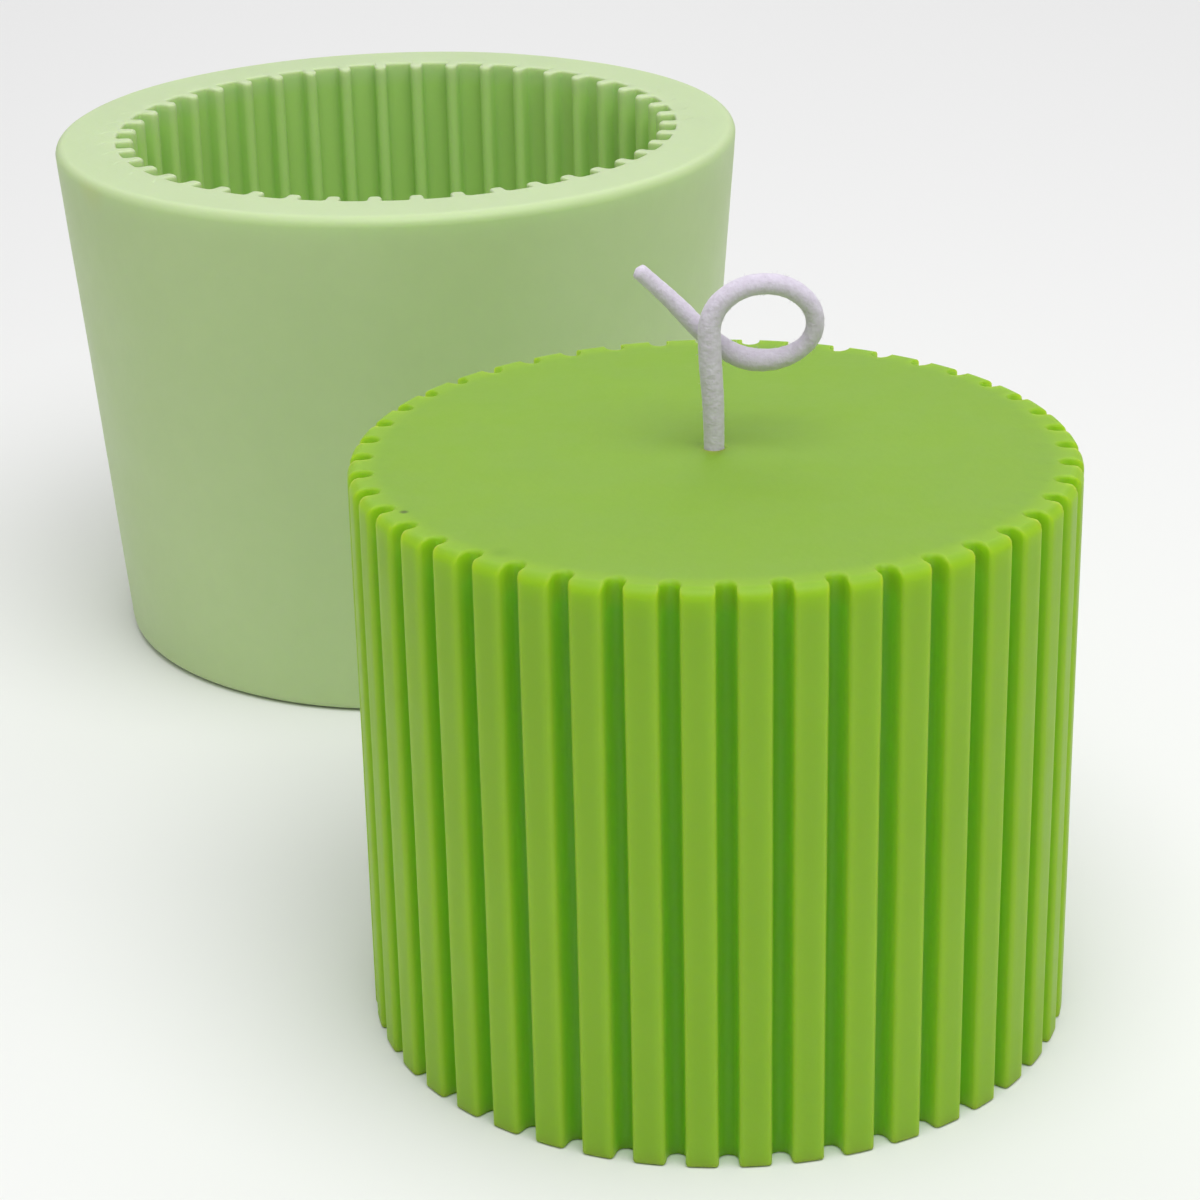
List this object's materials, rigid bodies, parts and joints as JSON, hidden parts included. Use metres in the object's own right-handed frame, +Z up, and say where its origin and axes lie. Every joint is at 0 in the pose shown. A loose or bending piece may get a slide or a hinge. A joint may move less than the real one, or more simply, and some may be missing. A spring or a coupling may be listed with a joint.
{
  "type": "candle mold",
  "caption": "One-piece tapered cup mold with a ribbed round cavity, beside the grooved wax pillar it casts and its looped wick.",
  "frame": {"origin": "centre of the mold's flat base, on the axis of its wick hole and on the surface that it stands on", "axes": "+Z up out of the mold's mouth; +Y from the candle's side of the set towards the mold's far side; +X to the right"},
  "size_m": [0.1291, 0.2081, 0.0868],
  "materials": {
    "silicone": "pale green cast silicone, satin",
    "wax": "bright green pillar wax, satin",
    "cotton": "white cotton wick, smooth and matte"
  },
  "bodies": {
    "mold": {"mold_body": "silicone"},
    "candle": {"candle_body": "wax", "wick_core": "cotton", "wick_free": "cotton"}
  },
  "joints": [
    {"name": "candle_lift", "type": "slide", "parent": "mold", "child": "candle", "axis": [0, 0, 1], "range_m": [0, 0.08]}
  ]
}
